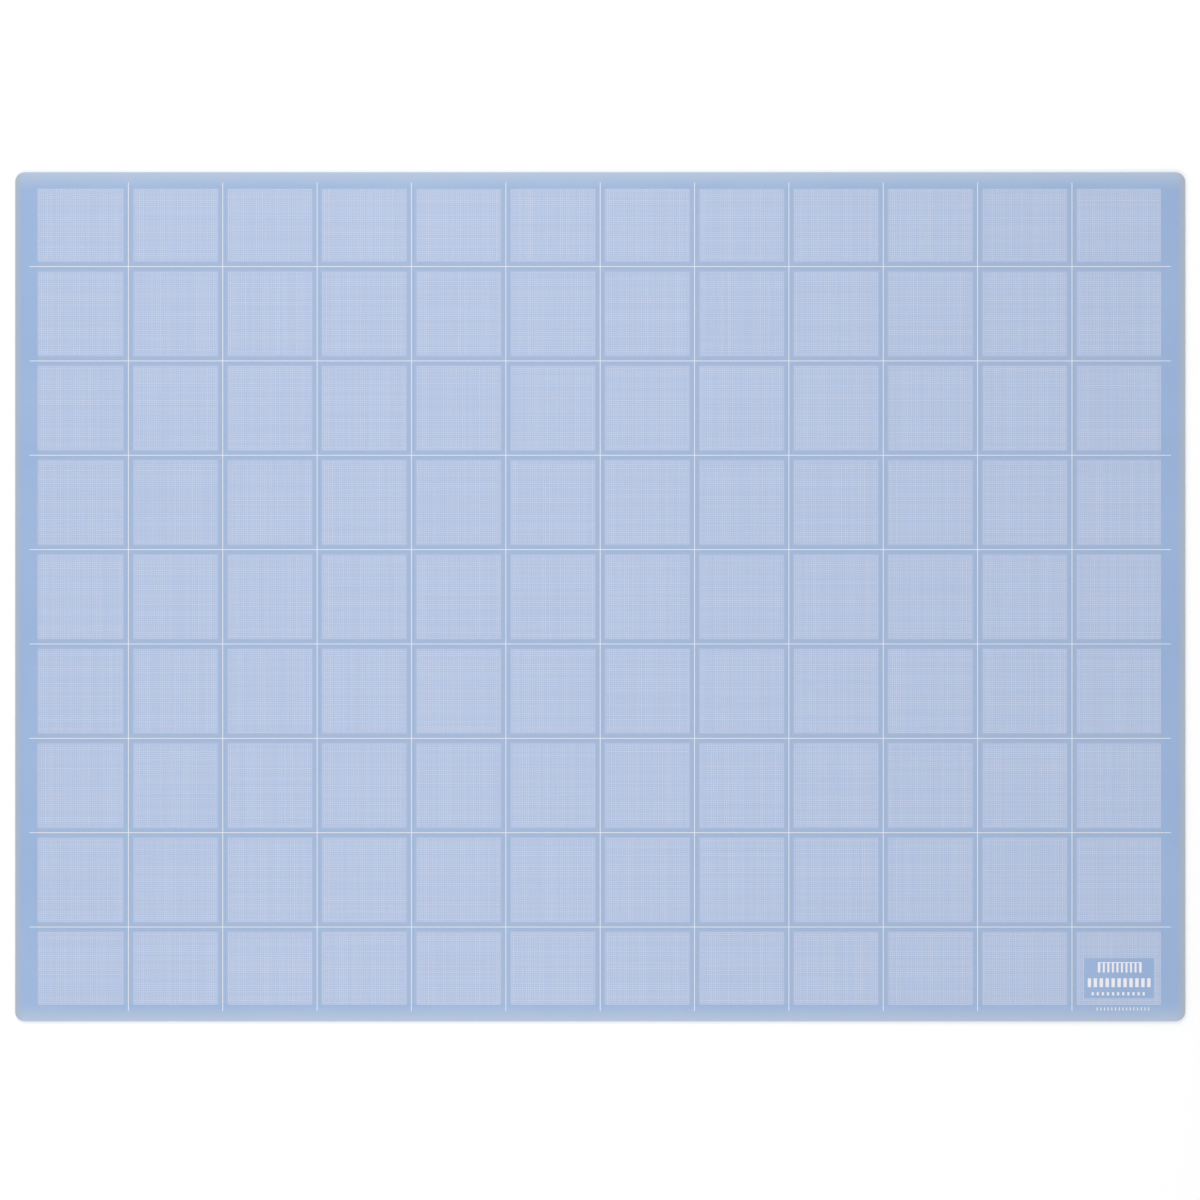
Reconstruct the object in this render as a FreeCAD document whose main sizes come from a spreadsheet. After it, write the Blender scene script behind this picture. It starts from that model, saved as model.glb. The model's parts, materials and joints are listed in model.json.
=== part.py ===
"""Self-healing cutting mat: three bonded plastic plies with a white measuring grid printed on top.

The mat lies flat. Its frame has the origin at the middle of the underside, +X along the long side,
+Y along the short side and +Z up through the plies. Lengths are in millimetres.

From the bench upwards the pieces are:

    bottom_skin        soft ply that closes cuts again, its lower rim slightly rolled by the die
    core_sheet         stiff ply that keeps the mat flat and stops the blade
    top_skin           soft ply that is cut on, its upper rim slightly rolled by the die
    main_grid_print    white ink lines on the 50 mm squares
    fine_grid_print    the printed field of 1 mm hairlines inside each square, one film per square
    label_print        white ink marks of the maker's panel, drawn as a plain measuring scale
"""

import FreeCAD, Part
import os

import Sketcher

OUT = "parts"
SHEET = "dims"

# Driving dimensions: alias, value, meaning.
DIMENSIONS = [
    ("mat_length", 620, "long side of the mat"),
    ("mat_width", 450, "short side of the mat"),
    ("corner_radius", 5, "radius of the four corners"),
    ("skin_thickness", 0.5, "thickness of each soft outer ply"),
    ("core_thickness", 1, "thickness of the stiff middle ply"),
    ("rim_radius", 0.25, "roll that the cutting die leaves on the outer rims"),
    ("ink_thickness", 0.02, "height of the printed ink"),
    ("cell_pitch", 50, "spacing of the main lines"),
    ("lines_down", 11, "main lines that run along Y"),
    ("lines_across", 8, "main lines that run along X"),
    ("main_line_width", 0.35, "width of a main line"),
    ("main_reach_x", 302.5, "end of the lines along X, from the middle"),
    ("main_reach_y", 219.5, "end of the lines along Y, from the middle"),
    ("fine_reach_left", 298, "last hairline towards -X, from the middle"),
    ("fine_reach_right", 297, "last hairline towards +X, from the middle"),
    ("fine_reach_y", 216, "last hairline along Y both ways, from the middle"),
    ("fine_clearance", 3, "gap from a main line to the first hairline, between centres"),
    ("fine_line_width", 0.15, "width of a hairline"),
    ("label_x", 275, "middle of the label window"),
    ("label_y", -202.25, "middle of the label window"),
    ("label_length", 37, "label window along X"),
    ("label_width", 21.3, "label window along Y"),
    ("ruler_x", 275.3, "middle of the ruler mark"),
    ("ruler_rise", 5.9, "ruler mark's middle above the window's middle"),
    ("ruler_length", 23.2, "ruler mark along X"),
    ("ruler_width", 5.5, "ruler mark along Y"),
    ("slot_pitch", 2.4, "spacing of the ruler mark's graduations"),
    ("slot_count", 9, "graduations cut into the ruler mark"),
    ("slot_width", 1.35, "width of a graduation"),
    ("slot_depth", 5.1, "length of a graduation"),
    ("block_x", 275, "middle of the scale blocks"),
    ("block_drop", 2.25, "scale blocks' middle below the window's middle"),
    ("block_pitch", 3.15, "spacing of the scale blocks"),
    ("block_count", 11, "scale blocks in the row"),
    ("block_length", 1.8, "scale block along X"),
    ("block_width", 4.7, "scale block along Y"),
    ("dash_x", 274.5, "middle of the dashes"),
    ("dash_drop", 8.1, "dashes' middle below the window's middle"),
    ("dash_pitch", 2.7, "spacing of the dashes"),
    ("dash_count", 11, "dashes in the row"),
    ("dash_length", 1.1, "dash along X"),
    ("dash_width", 1.7, "dash along Y"),
    ("tick_x", 277, "middle of the border ticks"),
    ("tick_drop", 16.15, "border ticks' middle below the window's middle"),
    ("tick_pitch", 1.95, "spacing of the border ticks"),
    ("tick_count", 15, "border ticks in the row"),
    ("tick_length", 0.5, "border tick along X"),
    ("tick_width", 1.7, "border tick along Y"),
]

# Heights of the ply faces above the bench, as spreadsheet expressions.
CORE_BOTTOM = "dims.skin_thickness"
CORE_TOP = "dims.skin_thickness + dims.core_thickness"
MAT_TOP = "2 * dims.skin_thickness + dims.core_thickness"

# Outermost main lines, and the film of an inner square, which ends half a hairline past its last line.
LAST_LINE_X = "(dims.lines_down - 1) / 2 * dims.cell_pitch"
LAST_LINE_Y = "(dims.lines_across - 1) / 2 * dims.cell_pitch"
CELL_FILM = "dims.cell_pitch - 2 * dims.fine_clearance + dims.fine_line_width"

TOUCHING = 1e-6


def make_spreadsheet(doc):
    """Puts the driving dimensions in a spreadsheet, one row each with its alias."""
    sheet = doc.addObject("Spreadsheet::Sheet", SHEET)
    for row, (alias, value, meaning) in enumerate(DIMENSIONS, start=1):
        sheet.set(f"A{row}", alias)
        sheet.set(f"B{row}", str(value))
        sheet.set(f"C{row}", meaning)
        sheet.setAlias(f"B{row}", alias)
    doc.recompute()
    return sheet


def new_body(doc, label, height):
    """A body that stands at the given height, which is an expression."""
    body = doc.addObject("PartDesign::Body", label)
    body.Label = label
    body.AllowCompound = True
    body.setExpression("Placement.Base.z", height)
    return body


def new_sketch(body, name):
    """An empty sketch on the body's own XY plane."""
    planes = [plane for plane in body.Origin.OriginFeatures if plane.Role == "XY_Plane"]
    sketch = body.newObject("Sketcher::SketchObject", name)
    sketch.AttachmentSupport = [(planes[0], "")]
    sketch.MapMode = "FlatFace"
    return sketch


def add_rectangle(sketch, centre_x, centre_y, size_x, size_y):
    """Draws a rectangle whose centre and sides are bound to four expressions."""
    corners = [FreeCAD.Vector(x, y, 0) for x, y in ((-1, -1), (1, -1), (1, 1), (-1, 1))]
    sides = [Part.LineSegment(corners[i], corners[(i + 1) % 4]) for i in range(4)]
    bottom, right, top, left = sketch.addGeometry(sides, False)
    centre = sketch.addGeometry(Part.Point(FreeCAD.Vector(0, 0, 0)), True)
    start, end, origin = 1, 2, -1
    sketch.addConstraint(
        [
            Sketcher.Constraint("Coincident", bottom, end, right, start),
            Sketcher.Constraint("Coincident", right, end, top, start),
            Sketcher.Constraint("Coincident", top, end, left, start),
            Sketcher.Constraint("Coincident", left, end, bottom, start),
            Sketcher.Constraint("Horizontal", bottom),
            Sketcher.Constraint("Horizontal", top),
            Sketcher.Constraint("Vertical", right),
            Sketcher.Constraint("Vertical", left),
            Sketcher.Constraint("Symmetric", bottom, start, top, start, centre, start),
        ]
    )
    bound = [
        ("centre_x", centre_x, Sketcher.Constraint("DistanceX", origin, start, centre, start, 0.0)),
        ("centre_y", centre_y, Sketcher.Constraint("DistanceY", origin, start, centre, start, 0.0)),
        ("size_x", size_x, Sketcher.Constraint("DistanceX", bottom, start, bottom, end, 2.0)),
        ("size_y", size_y, Sketcher.Constraint("DistanceY", right, start, right, end, 2.0)),
    ]
    for name, expression, constraint in bound:
        index = sketch.addConstraint(constraint)
        unique_name = f"{name}_{bottom}"
        sketch.renameConstraint(index, unique_name)
        sketch.setExpression(f"Constraints.{unique_name}", expression)


def pad(body, name, rectangles, height):
    """Pads a sketch of rectangles, each given as four expressions, to a height."""
    sketch = new_sketch(body, f"{name}_sketch")
    for rectangle in rectangles:
        add_rectangle(sketch, *rectangle)
    feature = body.newObject("PartDesign::Pad", name)
    feature.Profile = sketch
    feature.setExpression("Length", height)
    sketch.Document.recompute()
    return feature


def cut(body, name, rectangle):
    """Cuts a rectangle right through the body, upwards from its XY plane."""
    before = body.Shape.Volume
    sketch = new_sketch(body, f"{name}_sketch")
    add_rectangle(sketch, *rectangle)
    feature = body.newObject("PartDesign::Pocket", name)
    feature.Profile = sketch
    feature.Type = "ThroughAll"
    feature.Reversed = True
    body.Document.recompute()
    if not feature.Shape.Volume < before:
        raise RuntimeError(f"{name} removed no material")
    return feature


def repeat(body, feature, along_x=None, along_y=None):
    """Repeats a feature towards +X, +Y or both; each direction is a (count, pitch) of expressions."""
    pattern = body.newObject("PartDesign::LinearPattern", f"{feature.Name}_pattern")
    pattern.Originals = [feature]
    sketch = feature.Profile[0]
    runs = [("H_Axis", along_x), ("V_Axis", along_y)]
    used = [(axis, run) for axis, run in runs if run]
    for suffix, (axis, (count, pitch)) in zip(("", "2"), used):
        setattr(pattern, f"Direction{suffix}", (sketch, [axis]))
        setattr(pattern, f"Mode{suffix}", "Extent")
        pattern.setExpression(f"Occurrences{suffix}", count)
        pattern.setExpression(f"Length{suffix}", f"({count} - 1) * {pitch}")
    body.Tip = pattern
    body.Document.recompute()
    return pattern


def fillet_edges(body, name, radius, chosen):
    """Rounds the edges of the body's tip for which chosen(edge) is true."""
    tip = body.Tip
    edges = [f"Edge{i}" for i, edge in enumerate(tip.Shape.Edges, start=1) if chosen(edge)]
    feature = body.newObject("PartDesign::Fillet", name)
    feature.Base = (tip, edges)
    feature.setExpression("Radius", radius)
    body.Document.recompute()
    return feature


def is_upright(edge):
    """True for an edge that runs along Z."""
    box = edge.BoundBox
    return box.XLength < TOUCHING and box.YLength < TOUCHING


def lies_at(level):
    """A test for edges that lie wholly in the plane z = level."""
    return lambda edge: (
        abs(edge.BoundBox.ZMin - level) < TOUCHING and abs(edge.BoundBox.ZMax - level) < TOUCHING
    )


def make_ply(doc, label, thickness, height, rolled_rim=None):
    """One full-size ply with rounded corners; rolled_rim is "top", "bottom" or None."""
    body = new_body(doc, label, height)
    outline = ("0", "0", "dims.mat_length", "dims.mat_width")
    sheet_pad = pad(body, f"{label}_pad", [outline], thickness)
    fillet_edges(body, f"{label}_corners", "dims.corner_radius", is_upright)
    if rolled_rim:
        level = sheet_pad.Length.Value if rolled_rim == "top" else 0.0
        fillet_edges(body, f"{label}_rim", "dims.rim_radius", lies_at(level))
    return body


def make_main_grid(doc):
    """The lattice of main lines, which run a little way out into the border."""
    body = new_body(doc, "main_grid_print", MAT_TOP)
    down = (f"-{LAST_LINE_X}", "0", "dims.main_line_width", "2 * dims.main_reach_y")
    across = ("0", f"-{LAST_LINE_Y}", "2 * dims.main_reach_x", "dims.main_line_width")
    lines_down = pad(body, "line_down", [down], "dims.ink_thickness")
    repeat(body, lines_down, along_x=("dims.lines_down", "dims.cell_pitch"))
    lines_across = pad(body, "line_across", [across], "dims.ink_thickness")
    repeat(body, lines_across, along_y=("dims.lines_across", "dims.cell_pitch"))
    return body


def film_span(sign, last_line, reach):
    """Middle and size of the film between the outermost main line on one side and its last hairline."""
    middle = f"{sign}({last_line} + dims.fine_clearance + {reach}) / 2"
    size = f"{reach} - {last_line} - dims.fine_clearance + dims.fine_line_width"
    return middle, size


def make_fine_grid(doc):
    """One thin film for the hairlines of each square: inner squares, sides, ends and corners."""
    body = new_body(doc, "fine_grid_print", MAT_TOP)
    inner_x = f"-({LAST_LINE_X}) + dims.cell_pitch / 2"
    inner_y = f"-({LAST_LINE_Y}) + dims.cell_pitch / 2"
    sides_x = [
        film_span("-", LAST_LINE_X, "dims.fine_reach_left"),
        film_span("", LAST_LINE_X, "dims.fine_reach_right"),
    ]
    ends_y = [film_span(sign, LAST_LINE_Y, "dims.fine_reach_y") for sign in ("-", "")]
    inner_columns = ("dims.lines_down - 1", "dims.cell_pitch")
    inner_rows = ("dims.lines_across - 1", "dims.cell_pitch")

    inner = [(inner_x, inner_y, CELL_FILM, CELL_FILM)]
    squares = pad(body, "inner_squares", inner, "dims.ink_thickness")
    repeat(body, squares, along_x=inner_columns, along_y=inner_rows)

    side = [(middle, inner_y, size, CELL_FILM) for middle, size in sides_x]
    sides = pad(body, "side_squares", side, "dims.ink_thickness")
    repeat(body, sides, along_y=inner_rows)

    end = [(inner_x, middle, CELL_FILM, size) for middle, size in ends_y]
    ends = pad(body, "end_squares", end, "dims.ink_thickness")
    repeat(body, ends, along_x=inner_columns)

    corner = [(mid_x, mid_y, size_x, size_y) for mid_x, size_x in sides_x for mid_y, size_y in ends_y]
    pad(body, "corner_squares", corner, "dims.ink_thickness")

    window = ("dims.label_x", "dims.label_y", "dims.label_length", "dims.label_width")
    cut(body, "label_window", window)
    return body


def row_start(middle, count, pitch):
    """Expression for the first centre of a row with the given middle."""
    return f"{middle} - ({count} - 1) / 2 * {pitch}"


def make_label(doc):
    """Marks of the maker's panel: a graduated ruler bar, a row of scale blocks and a row of dashes in the
    label window, and a row of ticks in the border below it."""
    body = new_body(doc, "label_print", MAT_TOP)
    ruler_y = "dims.label_y + dims.ruler_rise"
    ruler = ("dims.ruler_x", ruler_y, "dims.ruler_length", "dims.ruler_width")
    pad(body, "ruler_bar", [ruler], "dims.ink_thickness")
    slot_x = row_start("dims.ruler_x", "dims.slot_count", "dims.slot_pitch")
    slot_y = f"{ruler_y} - dims.ruler_width / 2 + dims.slot_depth / 2"
    slot = cut(body, "graduation", (slot_x, slot_y, "dims.slot_width", "dims.slot_depth"))
    repeat(body, slot, along_x=("dims.slot_count", "dims.slot_pitch"))

    for name in ("block", "dash", "tick"):
        count = f"dims.{name}_count"
        pitch = f"dims.{name}_pitch"
        mark = (
            row_start(f"dims.{name}_x", count, pitch),
            f"dims.label_y - dims.{name}_drop",
            f"dims.{name}_length",
            f"dims.{name}_width",
        )
        marks = pad(body, name, [mark], "dims.ink_thickness")
        repeat(body, marks, along_x=(count, pitch))
    return body


def check(doc, sheet, bodies):
    """Stops if a feature failed, a sub-part isn't sound or a pattern lost one of its solids."""
    failed = [obj.Name for obj in doc.Objects if {"Invalid", "Error"} & set(obj.State)]
    if failed:
        raise RuntimeError(f"failed features: {failed}")
    expected = {
        "fine_grid_print": (sheet.lines_down + 1) * (sheet.lines_across + 1),
        "label_print": 1 + sheet.block_count + sheet.dash_count + sheet.tick_count,
    }
    for body in bodies:
        shape = body.Shape
        if shape.isNull() or not shape.isValid():
            raise RuntimeError(f"{body.Label} isn't valid")
        if len(shape.Solids) != expected.get(body.Label, 1):
            raise RuntimeError(f"{body.Label} has {len(shape.Solids)} solids")


def main():
    doc = FreeCAD.newDocument("cutting_mat")
    sheet = make_spreadsheet(doc)
    bodies = [
        make_ply(doc, "bottom_skin", "dims.skin_thickness", "0", rolled_rim="bottom"),
        make_ply(doc, "core_sheet", "dims.core_thickness", CORE_BOTTOM),
        make_ply(doc, "top_skin", "dims.skin_thickness", CORE_TOP, rolled_rim="top"),
        make_main_grid(doc),
        make_fine_grid(doc),
        make_label(doc),
    ]
    doc.recompute()
    check(doc, sheet, bodies)
    os.makedirs(OUT, exist_ok=True)
    for body in bodies:
        body.Shape.exportStep(os.path.join(OUT, f"{body.Label}.step"))
        box = body.Shape.optimalBoundingBox()
        print(
            f"{body.Label}: {len(body.Shape.Solids)} solids, {body.Shape.Volume:.2f} mm3, "
            f"z {box.ZMin:.3f} to {box.ZMax:.3f}, {box.XLength:.2f} x {box.YLength:.2f}"
        )


main()
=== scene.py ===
"""Looks of the self-healing cutting mat: laminated blue plastic with a white measuring grid printed on it.

The plies, the main lines and the label marks are CAD nodes that get procedural materials here. The film
that stands for the 1 mm hairlines in each square is replaced by the hairlines themselves. All lengths
are in metres, in the row frame: +X along the long side, +Y along the short side, +Z up.
"""

import json
import math
import random

import bpy
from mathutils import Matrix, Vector

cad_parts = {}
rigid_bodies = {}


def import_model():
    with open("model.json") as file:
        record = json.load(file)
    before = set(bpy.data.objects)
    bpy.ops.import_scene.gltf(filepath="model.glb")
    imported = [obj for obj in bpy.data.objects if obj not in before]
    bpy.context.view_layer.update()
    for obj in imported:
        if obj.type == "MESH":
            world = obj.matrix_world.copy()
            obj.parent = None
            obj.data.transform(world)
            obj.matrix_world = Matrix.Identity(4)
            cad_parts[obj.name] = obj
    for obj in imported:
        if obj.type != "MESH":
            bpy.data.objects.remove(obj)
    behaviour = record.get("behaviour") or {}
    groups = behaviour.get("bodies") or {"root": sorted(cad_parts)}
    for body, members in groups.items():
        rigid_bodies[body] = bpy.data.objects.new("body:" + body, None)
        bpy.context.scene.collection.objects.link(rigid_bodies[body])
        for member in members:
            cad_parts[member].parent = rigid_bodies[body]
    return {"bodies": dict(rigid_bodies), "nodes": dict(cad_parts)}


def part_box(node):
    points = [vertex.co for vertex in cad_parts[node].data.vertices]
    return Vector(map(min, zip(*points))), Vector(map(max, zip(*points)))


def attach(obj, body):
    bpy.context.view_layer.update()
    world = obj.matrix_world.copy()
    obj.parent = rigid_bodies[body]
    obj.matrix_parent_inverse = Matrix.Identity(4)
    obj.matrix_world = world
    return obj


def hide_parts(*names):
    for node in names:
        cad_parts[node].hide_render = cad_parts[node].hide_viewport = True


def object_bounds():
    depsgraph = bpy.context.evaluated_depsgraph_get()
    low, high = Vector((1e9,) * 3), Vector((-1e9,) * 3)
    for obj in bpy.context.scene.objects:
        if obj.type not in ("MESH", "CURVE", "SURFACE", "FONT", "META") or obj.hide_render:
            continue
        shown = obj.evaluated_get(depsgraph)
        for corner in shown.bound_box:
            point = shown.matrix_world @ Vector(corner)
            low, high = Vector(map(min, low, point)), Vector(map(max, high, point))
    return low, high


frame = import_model()
cad_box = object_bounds()

BODY = next(iter(frame["bodies"]))

MM = 0.001

# The print. Main lines lie at whole pitches in x, and half a pitch off that in y. The hairlines across are
# a small step thinner than those down, so that their tops don't coincide where they cross.
CELL_PITCH = 50 * MM
ROW_OFFSET = CELL_PITCH / 2
FIRST_HAIRLINE = 3 * MM
HAIRLINE_PITCH = 1 * MM
HAIRLINE_WIDTH = 0.15 * MM
WIDTH_SPREAD = 0.40
CROSSING_STEP = 0.004 * MM
PRINT_SEED = 7
TOUCHING = 0.001 * MM

# Colours, linear
SKIN_BLUE = (0.288, 0.411, 0.638)
SKIN_CLOUD = (0.308, 0.431, 0.658)
# Painted glow: the skin painted paler in the printed squares and, less, in the channels, for the ink's light
# spreading into it
PRINT_PAINTED_GLOW = (0.366, 0.464, 0.668)
CHANNEL_PAINTED_GLOW = (0.326, 0.431, 0.624)
# Painted light at the edges: a paler painted glow along the long edges and a greyer band of painted shading
# along the short edges
LONG_EDGE_PAINTED_GLOW = (0.425, 0.510, 0.645)
SHORT_EDGE_PAINTED_SHADING = (0.395, 0.435, 0.485)
CORE_MILKY = (0.500, 0.610, 0.790)
CORE_STREAK = (0.420, 0.540, 0.740)
INK_WHITE = (0.800, 0.790, 0.830)
THIN_INK = (0.620, 0.660, 0.800)
FLOOR_WHITE = (0.980, 0.980, 0.980)

# Widths of the bands of painted light: the painted glow and shading at the edges, and the painted glow
# around the print's channels and field
LONG_EDGE_GLOW_BAND = 9 * MM
SHORT_EDGE_SHADING_BAND = 4 * MM
CHANNEL_EDGE = 1.4 * MM
FIELD_EDGE = 0.8 * MM

# Surfaces: the size of each texture's blotches, the depth of its bump and the roughness that it spans
CLOUD_SIZE = 60 * MM
WAVE_SIZE = 35 * MM
WAVE_DEPTH = 0.10 * MM
GRAIN_SIZE = 0.45 * MM
GRAIN_DEPTH = 0.02 * MM
SKIN_ROUGHNESS = (0.44, 0.54)
SKIN_SPECULAR = 0.45
STREAK_SIZE = 0.6 * MM
STREAK_STRETCH = (1, 1, 12)
STREAK_DEPTH = 0.03 * MM
CORE_ROUGHNESS = (0.38, 0.50)
DRYNESS_SIZE = 0.3 * MM
DRYNESS_DEPTH = 0.004 * MM
INK_ROUGHNESS = (0.52, 0.66)
FLOOR_ROUGHNESS = 0.9

# How light goes into the plastics: one weight for all, and for each ply a depth and the shares of it that
# red, green and blue reach
SCATTER_WEIGHT = 0.12
SKIN_SCATTER = (0.4, 0.6, 1.0)
SKIN_SCATTER_DEPTH = 0.3 * MM
CORE_SCATTER = (0.5, 0.7, 1.0)
CORE_SCATTER_DEPTH = 0.5 * MM

# The range that most of a noise lies in, and a narrower one for more contrast
NOISE_RANGE = (0.3, 0.7)
CLOUD_RANGE = (0.35, 0.65)

# The colour sockets of a Mix node
MIX_FIRST = 6
MIX_SECOND = 7
MIX_RESULT = 2

# Camera and studio. The view span is the picture's width at the mat's face. The floor lies just below the
# mat, and the lamps stand equally far beyond its two long edges, a little towards -X.
LENS_MM = 85
SENSOR_MM = 36
VIEW_SPAN = 635.9 * MM
VIEW_CENTRE = (-0.1 * MM, -1.7 * MM)
FLOOR_HALF = 6.0
FLOOR_DROP = 0.02 * MM
WORLD_STRENGTH = 0.81
LAMP_X = -0.16
LAMP_Y = 0.62
LAMP_Z = 0.95
LAMP_SIZE = 0.5
FAR_LAMP_WATTS = 2.60
NEAR_LAMP_WATTS = 2.00


def new_material(name):
    """A material with node tree, its Principled node and the coordinates of the row frame."""
    material = bpy.data.materials.new(name)
    material.use_nodes = True
    tree = material.node_tree
    shader = tree.nodes["Principled BSDF"]
    place = tree.nodes.new("ShaderNodeTexCoord").outputs["Object"]
    return material, tree, shader, place


def maths(tree, operation, first, second=0.0):
    """A Math node's output; each operand is a socket or a number."""
    node = tree.nodes.new("ShaderNodeMath")
    node.operation = operation
    for socket, operand in zip(node.inputs, (first, second)):
        if isinstance(operand, bpy.types.NodeSocket):
            tree.links.new(operand, socket)
        else:
            socket.default_value = operand
    return node.outputs["Value"]


def noise(tree, place, size, detail=2.0, stretch=(1, 1, 1)):
    """Noise from 0 to 1 whose blotches are about the given size, stretched by a factor on each axis."""
    scaled = tree.nodes.new("ShaderNodeVectorMath")
    scaled.operation = "DIVIDE"
    tree.links.new(place, scaled.inputs[0])
    scaled.inputs[1].default_value = [size * factor for factor in stretch]
    texture = tree.nodes.new("ShaderNodeTexNoise")
    texture.inputs["Scale"].default_value = 1.0
    texture.inputs["Detail"].default_value = detail
    tree.links.new(scaled.outputs["Vector"], texture.inputs["Vector"])
    return texture.outputs["Fac"]


def ranged(tree, value, source, target, smooth=False):
    """Maps value from one range to another."""
    node = tree.nodes.new("ShaderNodeMapRange")
    node.interpolation_type = "SMOOTHSTEP" if smooth else "LINEAR"
    tree.links.new(value, node.inputs["Value"])
    node.inputs["From Min"].default_value, node.inputs["From Max"].default_value = source
    node.inputs["To Min"].default_value, node.inputs["To Max"].default_value = target
    return node.outputs["Result"]


def blended(tree, factor, first, second):
    """A colour between two others; each is a socket or three numbers."""
    node = tree.nodes.new("ShaderNodeMix")
    node.data_type = "RGBA"
    tree.links.new(factor, node.inputs["Factor"])
    for socket, colour in ((node.inputs[MIX_FIRST], first), (node.inputs[MIX_SECOND], second)):
        if isinstance(colour, bpy.types.NodeSocket):
            tree.links.new(colour, socket)
        else:
            socket.default_value = (*colour, 1.0)
    return node.outputs[MIX_RESULT]


def bump(tree, shader, layers):
    """Chains bumps of (height socket, depth in metres) into the shader's normal."""
    normal = None
    for height, depth in layers:
        node = tree.nodes.new("ShaderNodeBump")
        node.inputs["Distance"].default_value = depth
        tree.links.new(height, node.inputs["Height"])
        if normal:
            tree.links.new(normal, node.inputs["Normal"])
        normal = node.outputs["Normal"]
    tree.links.new(normal, shader.inputs["Normal"])


def scatter(shader, reach, depth):
    """Lets a little light into the plastic."""
    shader.inputs["Subsurface Weight"].default_value = SCATTER_WEIGHT
    shader.inputs["Subsurface Radius"].default_value = reach
    shader.inputs["Subsurface Scale"].default_value = depth


def plan_coordinates(tree, place):
    """The x and y sockets of a place."""
    split = tree.nodes.new("ShaderNodeSeparateXYZ")
    tree.links.new(place, split.inputs["Vector"])
    return split.outputs["X"], split.outputs["Y"]


def beyond(tree, coordinate, low, high):
    """How far a coordinate lies outside the stretch from low to high; negative inside it."""
    centred = maths(tree, "ABSOLUTE", maths(tree, "SUBTRACT", coordinate, (low + high) / 2))
    return maths(tree, "SUBTRACT", centred, (high - low) / 2)


def with_painted_edge_light(tree, place, body):
    """The body colour with painted edge light: a paler band of painted glow along the long edges and a
    greyer band of painted shading along the short edges.
    """
    x, y = plan_coordinates(tree, place)
    low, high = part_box("top_skin")
    across = ranged(tree, beyond(tree, x, low.x, high.x), (-SHORT_EDGE_SHADING_BAND, 0.0), (0.0, 1.0))
    along = ranged(tree, beyond(tree, y, low.y, high.y), (-LONG_EDGE_GLOW_BAND, 0.0), (0.0, 1.0))
    return blended(tree, across, blended(tree, along, body, LONG_EDGE_PAINTED_GLOW), SHORT_EDGE_PAINTED_SHADING)


def with_painted_ink_glow(tree, place, body):
    """The body colour with a painted glow, paler where the ink would spread its light into the skin.

    It is palest in the printed squares, less pale in the channels between them, and plain in the border
    and the label window.
    """
    x, y = plan_coordinates(tree, place)
    low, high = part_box("fine_grid_print")
    window = next(window for _, window in printed_squares() if window)
    beyond_field = maths(tree, "MAXIMUM", beyond(tree, x, low.x, high.x), beyond(tree, y, low.y, high.y))
    beyond_window = maths(tree, "MAXIMUM", beyond(tree, x, *window[:2]), beyond(tree, y, *window[2:]))
    beyond_print = maths(tree, "MAXIMUM", beyond_field, maths(tree, "MULTIPLY", beyond_window, -1.0))
    reach = ranged(tree, beyond_print, (-FIELD_EDGE / 2, FIELD_EDGE / 2), (1.0, 0.0), smooth=True)
    to_line_down = maths(tree, "PINGPONG", x, CELL_PITCH / 2)
    to_line_across = maths(tree, "PINGPONG", maths(tree, "SUBTRACT", y, ROW_OFFSET), CELL_PITCH / 2)
    to_line = maths(tree, "MINIMUM", to_line_down, to_line_across)
    channel_edge = (FIRST_HAIRLINE - CHANNEL_EDGE, FIRST_HAIRLINE)
    painted_glow_in_square = ranged(tree, to_line, channel_edge, (0.0, 1.0), smooth=True)
    return blended(tree, reach, body, blended(tree, painted_glow_in_square, CHANNEL_PAINTED_GLOW, PRINT_PAINTED_GLOW))


def skin_material(name, printed):
    """Soft blue PVC: faint clouds in the colour, painted light in bands along the edges, low waves and a
    fine matte grain.

    Where it is printed, the skin gets a painted glow. It is painted paler to stand in for the ink's light
    spreading through the translucent skin.
    """
    material, tree, shader, place = new_material(name)
    clouds = ranged(tree, noise(tree, place, CLOUD_SIZE), CLOUD_RANGE, (0.0, 1.0), smooth=True)
    colour = with_painted_edge_light(tree, place, blended(tree, clouds, SKIN_BLUE, SKIN_CLOUD))
    if printed:
        colour = with_painted_ink_glow(tree, place, colour)
    tree.links.new(colour, shader.inputs["Base Color"])
    grain = noise(tree, place, GRAIN_SIZE, detail=3.0)
    tree.links.new(ranged(tree, grain, NOISE_RANGE, SKIN_ROUGHNESS), shader.inputs["Roughness"])
    bump(tree, shader, [(noise(tree, place, WAVE_SIZE), WAVE_DEPTH), (grain, GRAIN_DEPTH)])
    shader.inputs["Specular IOR Level"].default_value = SKIN_SPECULAR
    scatter(shader, SKIN_SCATTER, SKIN_SCATTER_DEPTH)
    return material


def core_material():
    """Stiff milky core, seen only at the cut edge, with fine upright streaks left by the die."""
    material, tree, shader, place = new_material("stiff_milky_pvc")
    streaks = noise(tree, place, STREAK_SIZE, detail=3.0, stretch=STREAK_STRETCH)
    tree.links.new(blended(tree, streaks, CORE_STREAK, CORE_MILKY), shader.inputs["Base Color"])
    tree.links.new(ranged(tree, streaks, NOISE_RANGE, CORE_ROUGHNESS), shader.inputs["Roughness"])
    bump(tree, shader, [(streaks, STREAK_DEPTH)])
    scatter(shader, CORE_SCATTER, CORE_SCATTER_DEPTH)
    return material


def ink_material(name, colour):
    """White screen-printing ink: matte, with a dry surface that varies slightly."""
    material, tree, shader, place = new_material(name)
    shader.inputs["Base Color"].default_value = (*colour, 1.0)
    dryness = noise(tree, place, DRYNESS_SIZE)
    tree.links.new(ranged(tree, dryness, NOISE_RANGE, INK_ROUGHNESS), shader.inputs["Roughness"])
    bump(tree, shader, [(dryness, DRYNESS_DEPTH)])
    return material


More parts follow.
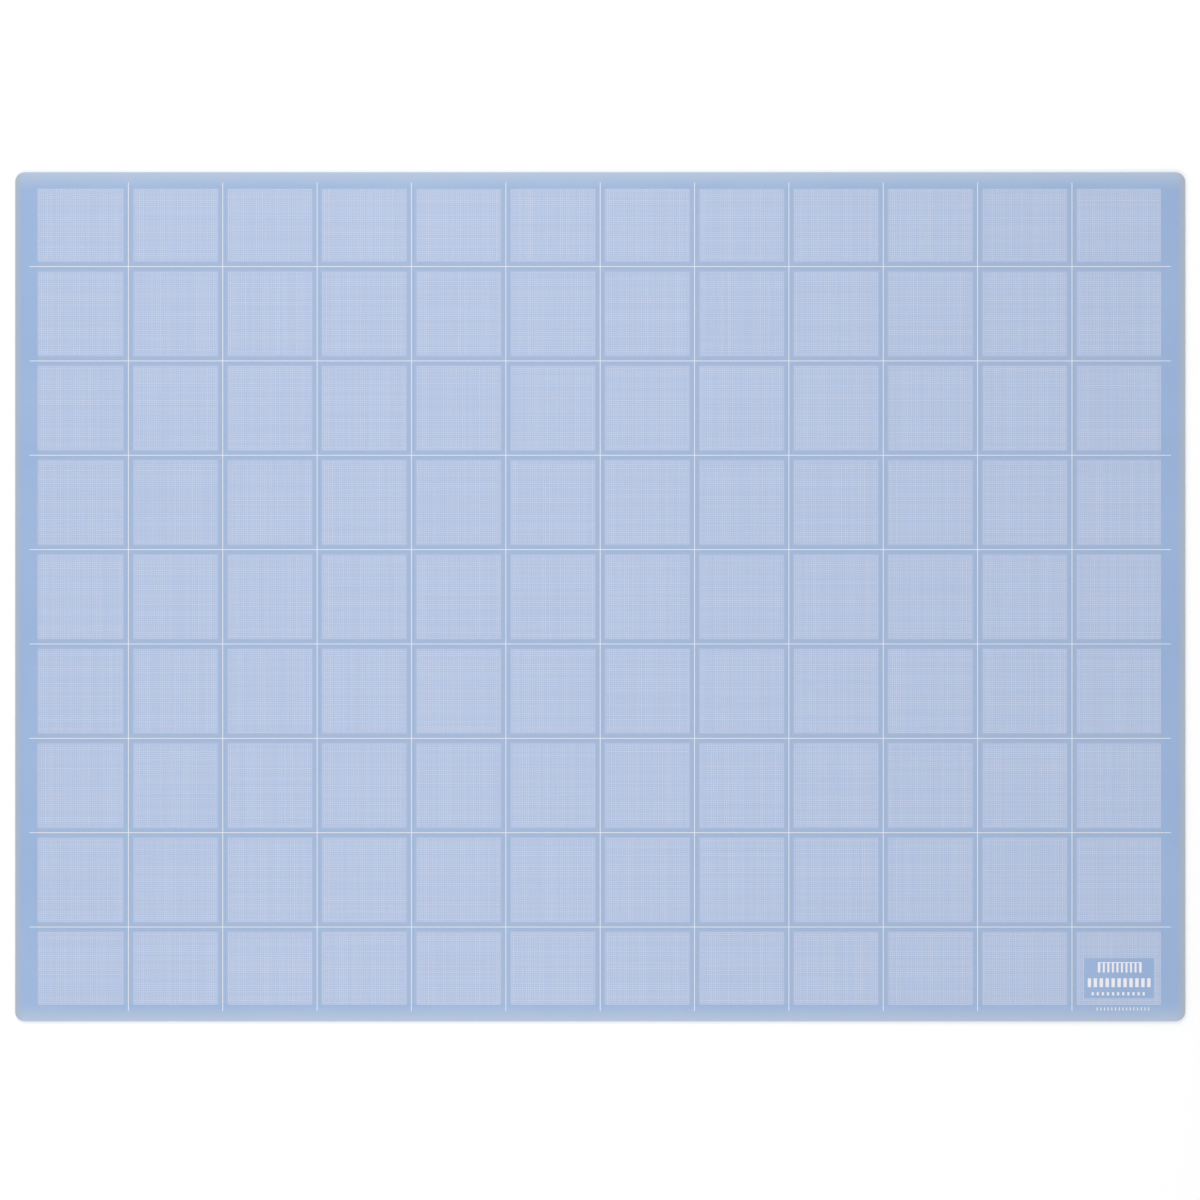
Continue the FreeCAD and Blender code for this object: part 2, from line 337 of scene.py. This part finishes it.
def printed_squares():
    """Lowest and highest x and y of each square's film, with the label window of the square that has one."""
    corners = {}
    for vertex in frame["nodes"]["fine_grid_print"].data.vertices:
        column = math.floor(vertex.co.x / CELL_PITCH)
        row = math.floor((vertex.co.y - ROW_OFFSET) / CELL_PITCH)
        corners.setdefault((column, row), []).append(vertex.co)
    return [film_and_window(points) for points in corners.values()]


def extent(points):
    """(x low, x high, y low, y high) of some points."""
    across = [point.x for point in points]
    along = [point.y for point in points]
    return min(across), max(across), min(along), max(along)


def film_and_window(points):
    """One film's extent, and that of the window inside it or None."""
    left, right, low, high = extent(points)
    inner = [
        point
        for point in points
        if left + TOUCHING < point.x < right - TOUCHING and low + TOUCHING < point.y < high - TOUCHING
    ]
    return (left, right, low, high), extent(inner) if inner else None


def strips(start, end, low, high, gap, dice):
    """Hairlines side by side from start to end, each from low to high and broken by the gap, if any.

    Each strip is (side low, side high, end low, end high), and so is the gap. The widths vary, as in
    screen printing.
    """
    count = round((end - start - HAIRLINE_WIDTH) / HAIRLINE_PITCH) + 1
    found = []
    for number in range(count):
        middle = start + HAIRLINE_WIDTH / 2 + number * HAIRLINE_PITCH
        half = HAIRLINE_WIDTH / 2 * (1 + dice.uniform(-WIDTH_SPREAD, WIDTH_SPREAD))
        side, edge = middle - half, middle + half
        if gap and gap[0] < edge and side < gap[1]:
            found += [(side, edge, low, gap[2]), (side, edge, gap[3], high)]
        else:
            found.append((side, edge, low, high))
    return found


def strip_object(name, boxes):
    """One mesh object of closed boxes, each given as (x low, x high, y low, y high, z low, z high)."""
    vertices = []
    faces = []
    for left, right, low, high, bottom, top in boxes:
        first = len(vertices)
        ring = [(left, low), (right, low), (right, high), (left, high)]
        vertices += [(x, y, z) for z in (bottom, top) for x, y in ring]
        faces += [(first + 3, first + 2, first + 1, first), (first + 4, first + 5, first + 6, first + 7)]
        for side in range(4):
            ahead = (side + 1) % 4
            faces.append((first + side, first + ahead, first + 4 + ahead, first + 4 + side))
    mesh = bpy.data.meshes.new(name)
    mesh.from_pydata(vertices, [], faces)
    piece = bpy.data.objects.new(name, mesh)
    bpy.context.scene.collection.objects.link(piece)
    return piece


def make_hairlines(ink):
    """The 1 mm hairlines of every square, as one piece each way."""
    film_low, film_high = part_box("fine_grid_print")
    bottom, top = film_low.z, film_high.z
    dice = random.Random(PRINT_SEED)
    down = []
    across = []
    for (left, right, low, high), window in printed_squares():
        turned = window and (window[2], window[3], window[0], window[1])
        down += [(a, b, c, d, bottom, top) for a, b, c, d in strips(left, right, low, high, window, dice)]
        across += [
            (c, d, a, b, bottom, top - CROSSING_STEP)
            for a, b, c, d in strips(low, high, left, right, turned, dice)
        ]
    for name, boxes in (("fine_lines_down", down), ("fine_lines_across", across)):
        piece = strip_object(name, boxes)
        piece.data.materials.append(ink)
        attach(piece, BODY)
        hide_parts("fine_grid_print")


def dress(node, material):
    """Gives a CAD node its material."""
    piece = frame["nodes"][node]
    piece.data.materials.clear()
    piece.data.materials.append(material)


def make_floor():
    """A plain pale floor just under the mat."""
    corners = ((-1, -1), (1, -1), (1, 1), (-1, 1))
    mesh = bpy.data.meshes.new("floor")
    mesh.from_pydata([(x * FLOOR_HALF, y * FLOOR_HALF, -FLOOR_DROP) for x, y in corners], [], [(0, 1, 2, 3)])
    floor = bpy.data.objects.new("floor", mesh)
    bpy.context.scene.collection.objects.link(floor)
    material, _, shader, _ = new_material("pale_floor")
    shader.inputs["Base Color"].default_value = (*FLOOR_WHITE, 1.0)
    shader.inputs["Roughness"].default_value = FLOOR_ROUGHNESS
    shader.inputs["Specular IOR Level"].default_value = 0.0
    mesh.materials.append(material)


def make_lights():
    """A white room, and a soft lamp beyond each long edge, as on a copying stand, the far one brighter.

    Each lamp is turned to the long middle line of the mat.
    """
    world = bpy.data.worlds.new("studio")
    world.use_nodes = True
    background = world.node_tree.nodes["Background"]
    background.inputs["Color"].default_value = (1.0, 1.0, 1.0, 1.0)
    background.inputs["Strength"].default_value = WORLD_STRENGTH
    bpy.context.scene.world = world
    for name, y, watts in (("lamp_far", LAMP_Y, FAR_LAMP_WATTS), ("lamp_near", -LAMP_Y, NEAR_LAMP_WATTS)):
        data = bpy.data.lights.new(name, "AREA")
        data.shape = "DISK"
        data.size = LAMP_SIZE
        data.energy = watts
        lamp = bpy.data.objects.new(name, data)
        lamp.location = (LAMP_X, y, LAMP_Z)
        lamp.rotation_euler = Vector((0.0, y, LAMP_Z)).to_track_quat("Z", "Y").to_euler()
        bpy.context.scene.collection.objects.link(lamp)


def make_camera():
    """Straight down on the mat, which fills the picture's width."""
    data = bpy.data.cameras.new("camera")
    data.lens = LENS_MM
    data.sensor_width = SENSOR_MM
    camera = bpy.data.objects.new("camera", data)
    height = VIEW_SPAN * LENS_MM / SENSOR_MM
    camera.location = (*VIEW_CENTRE, cad_box[1].z + height)
    bpy.context.scene.collection.objects.link(camera)
    bpy.context.scene.camera = camera


make_camera()
make_floor()
make_lights()

line_ink = ink_material("white_print_ink", INK_WHITE)
dress("bottom_skin", skin_material("plain_blue_pvc", printed=False))
dress("core_sheet", core_material())
dress("top_skin", skin_material("printed_blue_pvc", printed=True))
dress("main_grid_print", line_ink)
dress("label_print", line_ink)
make_hairlines(ink_material("thin_white_ink", THIN_INK))

bpy.context.scene.view_settings.view_transform = "Standard"
